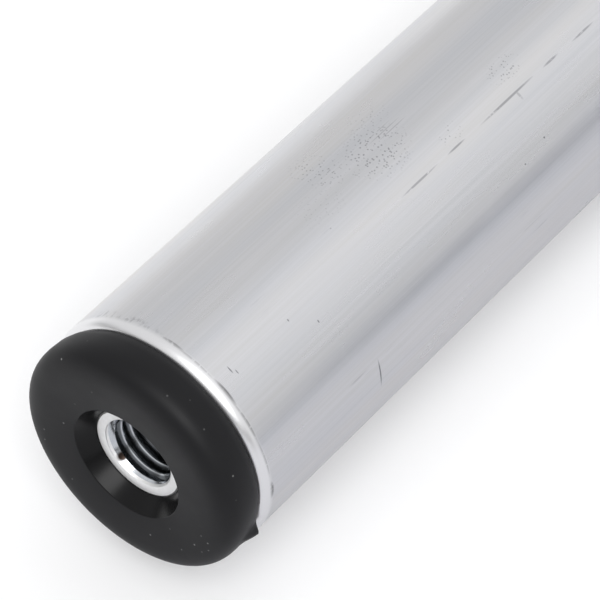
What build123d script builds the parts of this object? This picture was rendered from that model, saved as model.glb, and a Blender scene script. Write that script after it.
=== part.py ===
from build123d import *
import os

# Telescoping stand-off stabilizer for a ladder.
# A centre tube lies across the ladder and is clamped to its two side rails. An arm slides out
# of each end of it, turns a right angle and reaches for the wall.
# Axes: +X across the ladder, +Y from the ladder towards the wall, +Z up.
# Origin: middle of the underside of the closed stabilizer. Millimetres.

# ---------------------------------------------------------------------------
# Driving dimensions
# ---------------------------------------------------------------------------

# Arm tube, 1-1/2 inch drawn aluminium
ARM_OD = 38.1
ARM_WALL = 2.0
ARM_BEND_RADIUS = 95.0          # on the centreline
ARM_REACH = 300.0               # centre tube's axis to the rolled end of the arm
ARM_CORNER = 150.0              # mouth of the centre tube to the arm's outer leg, closed
ARM_TRAVEL = 130.0              # how far each arm pulls out
ROLL_DEPTH = 1.1                # how far the rolled rim is turned in
ROLL_LENGTH = 2.1               # how far back the rolling starts

# Centre tube, 1-7/8 inch drawn aluminium
CENTRE_OD = 47.6
CENTRE_WALL = 2.1

# Where the ladder's side rails are, and what they measure
RAIL_SPACING = 380.0            # between the two rails' centrelines
RAIL_GAP_WIDTH = 44.0           # between the legs of a U-bolt
RAIL_GAP_DEPTH = 88.0           # rail pad to the U-bolt's sleeve

# End plug and its threaded insert, M12 x 1.75
PLUG_HEAD = 7.3                 # stands out of the tube
PLUG_HEAD_INSET = 0.1           # tube's outside to the head's
PLUG_FLARE = 1.6                # length over which the neck widens to the head
PLUG_SHOULDER = 3.3             # radius of the head's rounded shoulder
PLUG_DEPTH = 34.0               # inside the tube
PLUG_WALL = 2.4
PLUG_BOSS_WALL = 3.2
PLUG_RIB = 2.2
PLUG_RIBS = 6
RECESS_RADIUS = 9.3
RECESS_DEPTH = 2.55
INSERT_OD = 14.6
INSERT_LENGTH = 26.0
INSERT_GROOVE_WIDTH = 3.0
INSERT_GROOVE_DEPTH = 0.8
THREAD_MINOR_D = 10.1
THREAD_CHAMFER_D = 13.3
THREAD_CHAMFER_DEPTH = 2.3

# Guide bush in each mouth of the centre tube
BUSH_LENGTH = 40.0
COLLAR_LENGTH = 7.0
COLLAR_PROUD = 1.6

# Guide plug on the inner end of each arm
GUIDE_HEAD = 8.0
GUIDE_SPIGOT = 26.0
GUIDE_WALL = 2.6

# Lock on top of each mouth: welded boss, screw and star knob
LOCK_SCREW_D = 8.0
LOCK_INSET = 24.0               # screw axis to the mouth of the centre tube
BOSS_D = 24.0
BOSS_HEIGHT = 13.0              # above the centre tube's crown
KNOB_GAP = 4.0                  # boss to knob, clamped
KNOB_HUB_D = 17.0
KNOB_HUB_HEIGHT = 8.0
KNOB_D = 42.0
KNOB_HEIGHT = 15.0
KNOB_LOBES = 5
KNOB_SCALLOP_D = 16.0
KNOB_SCREW_DEPTH = 14.0         # screw end inside the knob

# Rail clamp
ROD_D = 8.0                     # U-bolt, M8
ROD_BEND = 12.0                 # centreline radius of the U-bolt's corners
ROD_TAIL = 9.0                  # thread showing past the wing nut
SLEEVE_WALL = 2.2               # vinyl sleeve on the U-bolt's crossbar
SADDLE_LENGTH = 74.0
SADDLE_HEIGHT = 42.0
SADDLE_WEB = 12.0               # centre tube to the saddle's flat front
SADDLE_WRAP = 9.0               # how far its lips reach round the tube
PAD_THICKNESS = 6.0
PAD_POCKET = 2.0
PAD_MARGIN = 3.0                # saddle edge to pad, top and bottom
PAD_CLEARANCE = 2.5             # U-bolt leg hole to pad
BACKING_HEIGHT = 34.0
BACKING_WEB = 5.0
BACKING_WRAP = 7.0
WASHER_OD = 16.0
WASHER_THICKNESS = 1.6
SPRING_WASHER_OD = 13.0
SPRING_WASHER_THICKNESS = 2.0
NUT_HUB_D = 15.0
NUT_HUB_TOP_D = 11.5
NUT_HUB_HEIGHT = 9.0
NUT_WING_SPAN = 38.0
NUT_WING_HEIGHT = 15.0
NUT_WING_THICKNESS = 3.2

# Clearances
SEAT = 0.05                     # pieces fixed to each other
THREAD_FIT = 0.05               # radial, a screw turning in its thread
SLIDE_FIT = 0.35                # radial, an arm sliding in its guides
LOCK_GAP = 0.3                  # lock screw's tip to the arm
STOP_GAP = 1.0                  # arm's guide plug to its end stops
LEG_HOLE_CLEARANCE = 0.5        # radial, U-bolt leg in its holes

# ---------------------------------------------------------------------------
# Derived dimensions
# ---------------------------------------------------------------------------

arm_r = ARM_OD / 2
arm_bore_r = arm_r - ARM_WALL
centre_r = CENTRE_OD / 2
centre_bore_r = centre_r - CENTRE_WALL
rod_r = ROD_D / 2
leg_hole_r = rod_r + LEG_HOLE_CLEARANCE
insert_r = INSERT_OD / 2
thread_r = THREAD_MINOR_D / 2
bore_r = LOCK_SCREW_D / 2 + THREAD_FIT

rail_x = RAIL_SPACING / 2
leg_offset = RAIL_GAP_WIDTH / 2 + rod_r             # rail's centreline to each leg
leg_xs = (rail_x - leg_offset, rail_x + leg_offset)

arm_start = leg_xs[1] + rod_r + STOP_GAP + GUIDE_HEAD
centre_half = arm_start + ARM_TRAVEL + STOP_GAP + BUSH_LENGTH
lock_x = centre_half - LOCK_INSET
arm_x = centre_half + ARM_CORNER

# Along Y, from the centre tube's axis
saddle_front = -(centre_r + SADDLE_WEB)
pad_face = saddle_front + PAD_POCKET - PAD_THICKNESS
crossbar_y = pad_face - RAIL_GAP_DEPTH - SLEEVE_WALL - SEAT - rod_r
backing_back = centre_r + BACKING_WEB
washer_back = backing_back + WASHER_THICKNESS
nut_seat = washer_back + SPRING_WASHER_THICKNESS + SEAT
rod_end = nut_seat + NUT_HUB_HEIGHT + ROD_TAIL

# Along Z, from the centre tube's axis
boss_top = centre_r + BOSS_HEIGHT
knob_bottom = boss_top + KNOB_GAP
knob_top = knob_bottom + KNOB_HUB_HEIGHT + KNOB_HEIGHT

# The centre tube's axis, so that the origin is under the middle of the whole part
back_reach = -crossbar_y + rod_r + SEAT + SLEEVE_WALL
axis_y = (back_reach - ARM_REACH - PLUG_HEAD) / 2
axis_z = centre_r + COLLAR_PROUD


def across(x):
    """Plane square to the centre tube at x, with +Y to the right and +Z up."""
    return Plane(origin=(x, axis_y, axis_z), x_dir=(0, 1, 0), z_dir=(1, 0, 0))


def facing(y, x=0.0):
    """Plane square to Y at y from the centre tube's axis, looked at from the wall: +X and +Z."""
    return Plane(origin=(x, axis_y + y, axis_z), x_dir=(1, 0, 0), z_dir=(0, -1, 0))


def level(z, x=0.0, y=0.0):
    """Level plane at z above the centre tube's axis."""
    return Plane(origin=(x, axis_y + y, axis_z + z), x_dir=(1, 0, 0), z_dir=(0, 0, 1))


def save(piece, name):
    piece.label = name
    export_step(piece, f"parts/{name}.step")


os.makedirs("parts", exist_ok=True)

# ---------------------------------------------------------------------------
# Centre tube
# ---------------------------------------------------------------------------

with BuildPart() as centre_tube:
    with BuildSketch(across(-centre_half)):
        Circle(centre_r)
        Circle(centre_bore_r, mode=Mode.SUBTRACT)
    extrude(amount=2 * centre_half)
    with BuildSketch(facing(centre_r)):
        with Locations(*[(side * x, 0) for side in (-1, 1) for x in leg_xs]):
            Circle(leg_hole_r)
    extrude(amount=CENTRE_OD, mode=Mode.SUBTRACT)
    with BuildSketch(level(0)):
        with Locations((-lock_x, 0), (lock_x, 0)):
            Circle(bore_r)
    extrude(amount=centre_r, mode=Mode.SUBTRACT)
save(centre_tube.part, "centre_tube")


# ---------------------------------------------------------------------------
# Arms
# ---------------------------------------------------------------------------

def arm_path(side):
    """Centreline of an arm, from inside the centre tube to its rolled end."""
    return [(side * arm_start, 0), (side * arm_x, 0), (side * arm_x, ARM_REACH)]


def make_arm_tube(side):
    tip = level(0, side * arm_x, ARM_REACH)
    roll_radius = (ROLL_DEPTH**2 + ROLL_LENGTH**2) / (2 * ROLL_DEPTH)
    with BuildPart() as arm_tube:
        with BuildLine(level(0)) as path:
            FilletPolyline(*arm_path(side), radius=ARM_BEND_RADIUS)
        with BuildSketch(across(side * arm_start)):
            Circle(arm_r)
            Circle(arm_bore_r, mode=Mode.SUBTRACT)
        sweep(path=path.wires()[0])
        with BuildSketch(tip):
            with BuildLine():
                Line((arm_r, -ROLL_LENGTH), (arm_r + 1, -ROLL_LENGTH))
                Line((arm_r + 1, -ROLL_LENGTH), (arm_r + 1, 1))
                Line((arm_r + 1, 1), (arm_r - ROLL_DEPTH, 1))
                Line((arm_r - ROLL_DEPTH, 1), (arm_r - ROLL_DEPTH, 0))
                TangentArc((arm_r, -ROLL_LENGTH), (arm_r - ROLL_DEPTH, 0), tangent=(0, 1))
            make_face()
        revolve(axis=Axis(tip.origin, (0, 1, 0)), mode=Mode.SUBTRACT)
    return arm_tube.part


def make_end_plug(side):
    """Black nylon plug: a solid head, and a ribbed boss that holds the threaded insert."""
    tip = level(0, side * arm_x, ARM_REACH)
    rim_r = arm_r - ROLL_DEPTH
    head_r = arm_r - PLUG_HEAD_INSET
    shoulder_start = PLUG_HEAD - PLUG_SHOULDER
    skirt_r = arm_bore_r - SEAT
    boss_r = insert_r + SEAT + PLUG_BOSS_WALL
    insert_front = PLUG_HEAD - RECESS_DEPTH
    insert_back = insert_front - INSERT_LENGTH
    with BuildPart() as end_plug:
        with BuildSketch(tip):
            with BuildLine():
                Line((0, 0), (rim_r, 0))
                Line((rim_r, 0), (head_r, PLUG_FLARE))
                Line((head_r, PLUG_FLARE), (head_r, shoulder_start))
                CenterArc((head_r - PLUG_SHOULDER, shoulder_start), PLUG_SHOULDER, 0, 90)
                Line((head_r - PLUG_SHOULDER, PLUG_HEAD), (0, PLUG_HEAD))
                Line((0, PLUG_HEAD), (0, 0))
            make_face()
        revolve(axis=Axis(tip.origin, (0, 1, 0)))
        with BuildSketch(facing(ARM_REACH, side * arm_x)):
            Circle(skirt_r)
            Circle(skirt_r - PLUG_WALL, mode=Mode.SUBTRACT)
            Circle(boss_r)
            with PolarLocations(0, PLUG_RIBS):
                Rectangle(skirt_r - PLUG_WALL / 2, PLUG_RIB, align=(Align.MIN, Align.CENTER))
        extrude(amount=PLUG_DEPTH)
        with BuildSketch(tip):
            with BuildLine():
                Polyline((0, PLUG_HEAD), (RECESS_RADIUS, PLUG_HEAD), (insert_r + SEAT, insert_front),
                         (insert_r + SEAT, insert_back), (0, insert_back), close=True)
            make_face()
        revolve(axis=Axis(tip.origin, (0, 1, 0)), mode=Mode.SUBTRACT)
    return end_plug.part


def make_thread_insert(side):
    """Steel insert, zinc plated: grooved outside, bored through, countersunk at its mouth."""
    tip = level(0, side * arm_x, ARM_REACH)
    front = PLUG_HEAD - RECESS_DEPTH
    back = front - INSERT_LENGTH
    groove_top = (front + back + INSERT_GROOVE_WIDTH) / 2
    with BuildPart() as thread_insert:
        with BuildSketch(tip):
            with BuildLine():
                Polyline((thread_r, back), (insert_r, back),
                         (insert_r, groove_top - INSERT_GROOVE_WIDTH),
                         (insert_r - INSERT_GROOVE_DEPTH, groove_top - INSERT_GROOVE_WIDTH),
                         (insert_r - INSERT_GROOVE_DEPTH, groove_top),
                         (insert_r, groove_top), (insert_r, front), (THREAD_CHAMFER_D / 2, front),
                         (thread_r, front - THREAD_CHAMFER_DEPTH), close=True)
            make_face()
        revolve(axis=Axis(tip.origin, (0, 1, 0)))
    return thread_insert.part


def make_guide_plug(side):
    """Nylon glide on the arm's inner end: a head that rides in the centre tube, and a spigot."""
    head_r = centre_bore_r - SLIDE_FIT
    spigot_r = arm_bore_r - SEAT
    with BuildPart() as guide_plug:
        with BuildSketch(across(side * (arm_start - SEAT))):
            Circle(head_r)
            Circle(spigot_r - GUIDE_WALL, mode=Mode.SUBTRACT)
        extrude(amount=-side * (GUIDE_HEAD - SEAT))
        with BuildSketch(across(side * (arm_start - SEAT))):
            Circle(spigot_r)
            Circle(spigot_r - GUIDE_WALL, mode=Mode.SUBTRACT)
        extrude(amount=side * GUIDE_SPIGOT)
        rims = guide_plug.edges().filter_by(GeomType.CIRCLE).filter_by(lambda e: e.radius > arm_r)
        chamfer(rims, length=1.0)
    return guide_plug.part


# ---------------------------------------------------------------------------
# Mouths of the centre tube
# ---------------------------------------------------------------------------

def make_guide_bush(side):
    """Nylon bush in the tube's mouth, with a collar outside. The lock screw passes through it."""
    slide_r = arm_r + SLIDE_FIT
    with BuildPart() as guide_bush:
        with BuildSketch(across(side * centre_half)):
            Circle(centre_bore_r - SEAT)
        extrude(amount=-side * BUSH_LENGTH)
        with BuildSketch(across(side * (centre_half + SEAT))):
            Circle(centre_r + COLLAR_PROUD)
        extrude(amount=side * (COLLAR_LENGTH - SEAT))
        collar_rims = guide_bush.edges().filter_by(GeomType.CIRCLE).filter_by(
            lambda e: e.radius > centre_r)
        fillet(collar_rims, radius=1.2)
        with BuildSketch(across(side * centre_half)):
            Circle(centre_bore_r - SEAT)
        extrude(amount=side * SEAT)
        with BuildSketch(across(side * (centre_half - BUSH_LENGTH))):
            Circle(slide_r)
        extrude(amount=side * (BUSH_LENGTH + COLLAR_LENGTH), mode=Mode.SUBTRACT)
        with BuildSketch(level(0, side * lock_x)):
            Circle(bore_r)
        extrude(amount=centre_r, mode=Mode.SUBTRACT)
    return guide_bush.part


def make_lock_boss(side):
    """Aluminium boss welded on the centre tube's crown, bored for the lock screw."""
    with BuildPart() as lock_boss:
        with BuildSketch(level(centre_r / 2, side * lock_x)):
            Circle(BOSS_D / 2)
        extrude(amount=boss_top - centre_r / 2)
        top_rim = lock_boss.edges().filter_by(GeomType.CIRCLE).sort_by(Axis.Z)[-1]
        chamfer(top_rim, length=1.0)
        with BuildSketch(across(side * lock_x - BOSS_D)):
            Circle(centre_r + SEAT)
        extrude(amount=2 * BOSS_D, mode=Mode.SUBTRACT)
        with BuildSketch(level(0, side * lock_x)):
            Circle(bore_r)
        extrude(amount=boss_top, mode=Mode.SUBTRACT)
    return lock_boss.part


def make_lock_screw(side):
    """Stud moulded into the knob. Its rounded tip bears on the arm."""
    tip_z = arm_r + LOCK_GAP
    top_z = knob_bottom + KNOB_SCREW_DEPTH
    with BuildPart() as lock_screw:
        with BuildSketch(level(tip_z, side * lock_x)):
            Circle(LOCK_SCREW_D / 2)
        extrude(amount=top_z - tip_z)
        tip_rim = lock_screw.edges().filter_by(GeomType.CIRCLE).sort_by(Axis.Z)[0]
        chamfer(tip_rim, length=1.2)
    return lock_screw.part


def make_lock_knob(side):
    """Five-lobed star knob on a round hub."""
    with BuildPart() as lock_knob:
        with BuildSketch(level(knob_bottom, side * lock_x)):
            Circle(KNOB_HUB_D / 2)
        extrude(amount=KNOB_HUB_HEIGHT)
        with BuildSketch(level(knob_bottom + KNOB_HUB_HEIGHT, side * lock_x)):
            Circle(KNOB_D / 2)
            with PolarLocations(KNOB_D / 2 + KNOB_SCALLOP_D / 8, KNOB_LOBES):
                Circle(KNOB_SCALLOP_D / 2, mode=Mode.SUBTRACT)
        extrude(amount=KNOB_HEIGHT)
        top_edges = lock_knob.faces().sort_by(Axis.Z)[-1].edges()
        chamfer(top_edges, length=1.2)
        with BuildSketch(level(knob_bottom, side * lock_x)):
            Circle(LOCK_SCREW_D / 2 + SEAT)
        extrude(amount=KNOB_SCREW_DEPTH + SEAT, mode=Mode.SUBTRACT)
    return lock_knob.part


# ---------------------------------------------------------------------------
# Rail clamps
# ---------------------------------------------------------------------------

def make_u_bolt(side):
    """Square U-bolt round the ladder's rail. Its legs pass through the centre tube."""
    near, far = side * leg_xs[0], side * leg_xs[1]
    with BuildPart() as u_bolt:
        with BuildLine(level(0)) as path:
            FilletPolyline((near, rod_end), (near, crossbar_y), (far, crossbar_y), (far, rod_end),
                           radius=ROD_BEND)
        with BuildSketch(facing(rod_end, near)):
            Circle(rod_r)
        sweep(path=path.wires()[0])
        leg_ends = u_bolt.edges().filter_by(GeomType.CIRCLE).group_by(Axis.Y)[-1]
        chamfer(leg_ends, length=1.0)
    return u_bolt.part


def make_crossbar_sleeve(side):
    """Vinyl sleeve on the U-bolt's crossbar, where the rail bears."""
    length = 2 * (leg_offset - ROD_BEND)
    plane = Plane(origin=(side * rail_x - length / 2, axis_y + crossbar_y, axis_z),
                  x_dir=(0, 1, 0), z_dir=(1, 0, 0))
    with BuildPart() as crossbar_sleeve:
        with BuildSketch(plane):
            Circle(rod_r + SEAT + SLEEVE_WALL)
            Circle(rod_r + SEAT, mode=Mode.SUBTRACT)
        extrude(amount=length)
    return crossbar_sleeve.part


def make_rail_saddle(side):
    """Nylon block between centre tube and rail: hollow back, pocket for the pad in its front."""
    lips = SADDLE_WRAP - centre_r
    with BuildPart() as rail_saddle:
        with BuildSketch(facing(lips, side * rail_x)):
            RectangleRounded(SADDLE_LENGTH, SADDLE_HEIGHT, 4.0)
        extrude(amount=lips - saddle_front)
        front_rim = rail_saddle.faces().sort_by(Axis.Y)[0].edges()
        chamfer(front_rim, length=1.0)
        with BuildSketch(across(side * rail_x - SADDLE_LENGTH)):
            Circle(centre_r + SEAT)
        extrude(amount=2 * SADDLE_LENGTH, mode=Mode.SUBTRACT)
        with BuildSketch(facing(lips, side * rail_x)):
            with Locations((-leg_offset, 0), (leg_offset, 0)):
                Circle(leg_hole_r)
        extrude(amount=lips - saddle_front, mode=Mode.SUBTRACT)
        with BuildSketch(facing(saddle_front, side * rail_x)):
            Rectangle(pad_size[0] + 2 * SEAT, pad_size[1] + 2 * SEAT)
        extrude(amount=-PAD_POCKET, mode=Mode.SUBTRACT)
    return rail_saddle.part


pad_size = (2 * (leg_offset - leg_hole_r - PAD_CLEARANCE), SADDLE_HEIGHT - 2 * PAD_MARGIN)


def make_rail_pad(side):
    """Rubber pad with three grooves, set in the saddle's pocket."""
    groove_pitch = pad_size[1] / 4
    with BuildPart() as rail_pad:
        with BuildSketch(facing(pad_face + PAD_THICKNESS - SEAT, side * rail_x)):
            Rectangle(*pad_size)
        extrude(amount=PAD_THICKNESS - SEAT)
        with BuildSketch(facing(pad_face, side * rail_x)):
            with GridLocations(0, groove_pitch, 1, 3):
                Rectangle(pad_size[0], PAD_THICKNESS / 3)
        extrude(amount=-PAD_THICKNESS / 4, mode=Mode.SUBTRACT)
    return rail_pad.part


def make_backing_saddle(side):
    """Nylon saddle under the nuts, hollow towards the centre tube."""
    lips = centre_r - BACKING_WRAP
    with BuildPart() as backing_saddle:
        with BuildSketch(facing(backing_back, side * rail_x)):
            RectangleRounded(SADDLE_LENGTH, BACKING_HEIGHT, 4.0)
        extrude(amount=backing_back - lips)
        back_rim = backing_saddle.faces().sort_by(Axis.Y)[-1].edges()
        chamfer(back_rim, length=1.0)
        with BuildSketch(across(side * rail_x - SADDLE_LENGTH)):
            Circle(centre_r + SEAT)
        extrude(amount=2 * SADDLE_LENGTH, mode=Mode.SUBTRACT)
        with BuildSketch(facing(backing_back, side * rail_x)):
            with Locations((-leg_offset, 0), (leg_offset, 0)):
                Circle(leg_hole_r)
        extrude(amount=BACKING_WEB + BACKING_WRAP, mode=Mode.SUBTRACT)
    return backing_saddle.part


def make_washers(side, seat_y, thickness, outer_d, split):
    """The two washers of a clamp, one on each leg. A split washer has a gap in its ring."""
    with BuildPart() as washers:
        with BuildSketch(facing(seat_y, side * rail_x)):
            with Locations((-leg_offset, 0), (leg_offset, 0)):
                Circle(outer_d / 2)
                Circle(rod_r + THREAD_FIT * 4, mode=Mode.SUBTRACT)
            if split:
                with Locations((-leg_offset, outer_d / 2), (leg_offset, outer_d / 2)):
                    Rectangle(1.0, outer_d, mode=Mode.SUBTRACT)
        extrude(amount=-thickness)
    return washers.part


def make_wing_nut(x):
    """Wing nut: a tapered hub and two wings, turning on a leg of the U-bolt."""
    plane = level(0, x)
    wing_root = NUT_HUB_TOP_D / 2 - 1
    with BuildPart() as wing_nut:
        with BuildSketch(plane):
            with BuildLine():
                Polyline((0, nut_seat), (NUT_HUB_D / 2, nut_seat),
                         (NUT_HUB_TOP_D / 2, nut_seat + NUT_HUB_HEIGHT),
                         (0, nut_seat + NUT_HUB_HEIGHT), close=True)
            make_face()
        revolve(axis=Axis((x, axis_y, axis_z), (0, 1, 0)))
        with BuildSketch(Plane(origin=(x, axis_y, axis_z), x_dir=(0, 0, 1), z_dir=(1, 0, 0))) as wings:
            for turn in (-1, 1):
                with BuildLine():
                    Polyline((turn * wing_root, -(nut_seat + 1.5)),
                             (turn * (NUT_HUB_D / 2 + 1), -(nut_seat + 1.5)),
                             (turn * NUT_WING_SPAN / 2, -(nut_seat + NUT_WING_HEIGHT * 0.62)),
                             (turn * NUT_WING_SPAN / 2, -(nut_seat + NUT_WING_HEIGHT)),
                             (turn * (NUT_WING_SPAN / 2 - 5), -(nut_seat + NUT_WING_HEIGHT)),
                             (turn * wing_root, -(nut_seat + NUT_HUB_HEIGHT * 0.8)), close=True)
                make_face()
        extrude(amount=NUT_WING_THICKNESS / 2, both=True)
        with BuildSketch(facing(nut_seat, x)):
            Circle(rod_r + THREAD_FIT)
        extrude(amount=-NUT_WING_HEIGHT, mode=Mode.SUBTRACT)
    return wing_nut.part


# ---------------------------------------------------------------------------
# Both sides
# ---------------------------------------------------------------------------

for side, hand in ((-1, "left"), (1, "right")):
    save(make_arm_tube(side), f"arm_tube_{hand}")
    save(make_end_plug(side), f"end_plug_{hand}")
    save(make_thread_insert(side), f"thread_insert_{hand}")
    save(make_guide_plug(side), f"guide_plug_{hand}")
    save(make_guide_bush(side), f"guide_bush_{hand}")
    save(make_lock_boss(side), f"lock_boss_{hand}")
    save(make_lock_screw(side), f"lock_screw_{hand}")
    save(make_lock_knob(side), f"lock_knob_{hand}")
    save(make_u_bolt(side), f"u_bolt_{hand}")
    save(make_crossbar_sleeve(side), f"crossbar_sleeve_{hand}")
    save(make_rail_saddle(side), f"rail_saddle_{hand}")
    save(make_rail_pad(side), f"rail_pad_{hand}")
    save(make_backing_saddle(side), f"backing_saddle_{hand}")
    save(make_washers(side, backing_back + SEAT, WASHER_THICKNESS - SEAT, WASHER_OD, False),
         f"flat_washers_{hand}")
    save(make_washers(side, washer_back + SEAT, SPRING_WASHER_THICKNESS - SEAT, SPRING_WASHER_OD, True),
         f"spring_washers_{hand}")
    for place, x in zip(("inner", "outer"), leg_xs):
        save(make_wing_nut(side * x), f"wing_nut_{place}_{hand}")
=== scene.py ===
"""Looks of the telescoping ladder stabilizer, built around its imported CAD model."""
import bmesh
import bpy
import math
from functools import partial
from mathutils import Matrix, Vector


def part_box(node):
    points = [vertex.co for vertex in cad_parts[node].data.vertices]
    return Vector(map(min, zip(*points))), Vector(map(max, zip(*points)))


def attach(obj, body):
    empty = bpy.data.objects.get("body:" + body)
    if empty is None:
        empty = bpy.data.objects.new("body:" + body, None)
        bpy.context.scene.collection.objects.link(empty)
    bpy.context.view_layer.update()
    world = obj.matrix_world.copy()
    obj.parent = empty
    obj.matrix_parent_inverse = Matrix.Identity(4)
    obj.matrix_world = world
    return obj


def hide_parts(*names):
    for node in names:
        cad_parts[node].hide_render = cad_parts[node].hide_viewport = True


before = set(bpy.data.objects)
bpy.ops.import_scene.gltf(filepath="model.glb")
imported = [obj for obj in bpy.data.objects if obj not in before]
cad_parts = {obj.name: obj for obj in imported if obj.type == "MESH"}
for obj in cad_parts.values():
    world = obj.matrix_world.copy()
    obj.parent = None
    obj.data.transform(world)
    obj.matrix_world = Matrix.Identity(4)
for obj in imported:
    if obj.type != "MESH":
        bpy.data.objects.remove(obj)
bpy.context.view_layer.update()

MM = 0.001
FULL_TURN = 2 * math.pi
HANDS = (("left", -1), ("right", 1))
MERGE = 0.001 * MM              # points nearer than this are one

# Sizes and places read from the frame

tube_low, tube_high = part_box("centre_tube")
CENTRE_R = (tube_high.z - tube_low.z) / 2
CENTRE_HALF = tube_high.x
AXIS_Y = (tube_high.y + tube_low.y) / 2
AXIS_Z = (tube_high.z + tube_low.z) / 2

arm_low, arm_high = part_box("arm_tube_right")
ARM_R = (arm_high.z - arm_low.z) / 2
ARM_X = arm_high.x - ARM_R              # outer leg's axis
ARM_START = arm_low.x                   # inner end, inside the centre tube
TIP_Y = arm_high.y                      # rolled end

plug_low, plug_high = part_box("end_plug_right")
PLUG_R = (plug_high.z - plug_low.z) / 2
PLUG_HEAD = plug_high.y - TIP_Y
PLUG_BACK = plug_low.y - TIP_Y

insert_low, insert_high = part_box("thread_insert_right")
INSERT_R = (insert_high.z - insert_low.z) / 2
INSERT_FRONT = insert_high.y - TIP_Y
INSERT_BACK = insert_low.y - TIP_Y

glide_low, glide_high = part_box("guide_plug_right")
GLIDE_R = (glide_high.z - glide_low.z) / 2

bush_low, bush_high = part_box("guide_bush_right")
COLLAR_R = (bush_high.z - bush_low.z) / 2

boss_low, boss_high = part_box("lock_boss_right")
LOCK_X = (boss_low.x + boss_high.x) / 2
BOSS_R = (boss_high.x - boss_low.x) / 2
BOSS_TOP = boss_high.z

screw_low, screw_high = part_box("lock_screw_right")
SCREW_R = (screw_high.x - screw_low.x) / 2

knob_low, knob_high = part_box("lock_knob_right")
KNOB_R = 21 * MM
KNOB_BOTTOM, KNOB_TOP = knob_low.z, knob_high.z

bolt_low, bolt_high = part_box("u_bolt_right")
ROD_R = (bolt_high.z - bolt_low.z) / 2
LEG_XS = (bolt_low.x + ROD_R, bolt_high.x - ROD_R)
RAIL_X = sum(LEG_XS) / 2
CROSSBAR_Y = bolt_low.y + ROD_R
ROD_END = bolt_high.y

sleeve_low, sleeve_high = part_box("crossbar_sleeve_right")
saddle_low, saddle_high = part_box("rail_saddle_right")
pad_low, pad_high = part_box("rail_pad_right")
backing_low, backing_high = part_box("backing_saddle_right")
flat_low, flat_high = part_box("flat_washers_right")
spring_low, spring_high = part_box("spring_washers_right")
nut_low, nut_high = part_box("wing_nut_inner_right")

# Sizes that the boxes don't give

ARM_WALL = 2.0 * MM
CENTRE_WALL = 2.1 * MM
BEND_R = 95 * MM                # of the arm's centreline
ROLL_DEPTH = 1.0 * MM
ROLL_LENGTH = 1.5 * MM
SEAT = 0.05 * MM                # between pieces fixed to each other
SLIDE_FIT = 0.35 * MM
INSERT_PITCH = 1.75 * MM        # M12
INSERT_MINOR_R = 5.05 * MM
INSERT_MAJOR_R = 5.9 * MM
INSERT_MOUTH_R = 5.95 * MM      # flat ring's inner rim
RING_R = INSERT_R + 0.2 * MM    # insert's mouth, pressed a little wider than its body
RING_DEPTH = 1.2 * MM
RING_FRONT = INSERT_FRONT - 0.45 * MM
MATTE_DEPTH = 0.5 * MM          # how far the sawn, duller finish reaches into the mouth
RECESS_R = 9.4 * MM             # of the plug's recess, at its rim
LEG_HOLE_R = ROD_R + 0.5 * MM
ARM_BORE_R = ARM_R - ARM_WALL
CENTRE_BORE_R = CENTRE_R - CENTRE_WALL

# Mesh helpers


def facing(origin, direction, up=(0, 0, 1)):
    """Place whose local Z points along a direction."""
    z = Vector(direction).normalized()
    x = Vector(up).cross(z).normalized()
    return Matrix.Translation(origin) @ Matrix((x, z.cross(x), z)).transposed().to_4x4()


def tip_place(side):
    """Place on an arm's rolled end, local Z pointing out of it."""
    return to_wall(side * ARM_X, TIP_Y)


def lock_place(side, z=0.0):
    """Place on a lock screw's axis at a height above the ground, local Z pointing up."""
    return Matrix.Translation((side * LOCK_X, AXIS_Y, z))


def to_wall(x, y):
    """Place at the object's mid height, local Z pointing to the wall."""
    return facing((x, y, AXIS_Z), (0, 1, 0))


def to_ladder(x, y):
    """Place at the object's mid height, local Z pointing to the ladder."""
    return facing((x, y, AXIS_Z), (0, -1, 0))


def along_tube(x, side=1):
    """Place on the centre tube's axis, local Z pointing along it to one side."""
    return facing((x, AXIS_Y, AXIS_Z), (side, 0, 0))


def tidied(bm, place=None):
    """Merges doubles, turns faces outwards and puts the shape in its place."""
    bmesh.ops.remove_doubles(bm, verts=bm.verts, dist=MERGE)
    bmesh.ops.recalc_face_normals(bm, faces=bm.faces)
    if place:
        bmesh.ops.transform(bm, matrix=place, verts=bm.verts)
    return bm


def placed(name, data):
    """A new object in the scene that shows some data."""
    thing = bpy.data.objects.new(name, data)
    bpy.context.scene.collection.objects.link(thing)
    return thing


def finished(name, bm, material, body, node, sharp=35):
    """Turns a bmesh into a piece that rides on a body and stands for a CAD node, if there is one."""
    mesh = bpy.data.meshes.new(name)
    bm.to_mesh(mesh)
    bm.free()
    mesh.materials.append(material)
    mesh.shade_smooth()
    mesh.set_sharp_from_angle(angle=math.radians(sharp))
    piece = placed(name, mesh)
    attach(piece, body)
    if node:
        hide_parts(node)


def arc(centre, radius, start, end, count):
    """Points on an arc in a profile's plane, from one angle to another in degrees."""
    angles = [math.radians(start + (end - start) * i / count) for i in range(count + 1)]
    return [(centre[0] + radius * math.cos(a), centre[1] + radius * math.sin(a)) for a in angles]


def chain(bm, points, closed=False):
    """Vertices on a profile of (radius, height) points, joined by edges."""
    verts = [bm.verts.new((r, 0, h)) for r, h in points]
    for a, b in list(zip(verts, verts[1:])) + ([(verts[-1], verts[0])] if closed else []):
        bm.edges.new((a, b))


def turned(profile, place, steps=96, closed=True):
    """Turns a profile of (radius, height) points about local Z, then puts it in its place."""
    bm = bmesh.new()
    chain(bm, profile, closed)
    bmesh.ops.spin(bm, geom=bm.verts[:] + bm.edges[:], cent=(0, 0, 0), axis=(0, 0, 1),
        angle=FULL_TURN, steps=steps, use_merge=True)
    return tidied(bm, place)


def rod(radius, length, place, steps=64):
    """Solid round bar along local Z."""
    return turned([(0, 0), (radius, 0), (radius, length), (0, length)], place, steps, closed=False)


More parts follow.
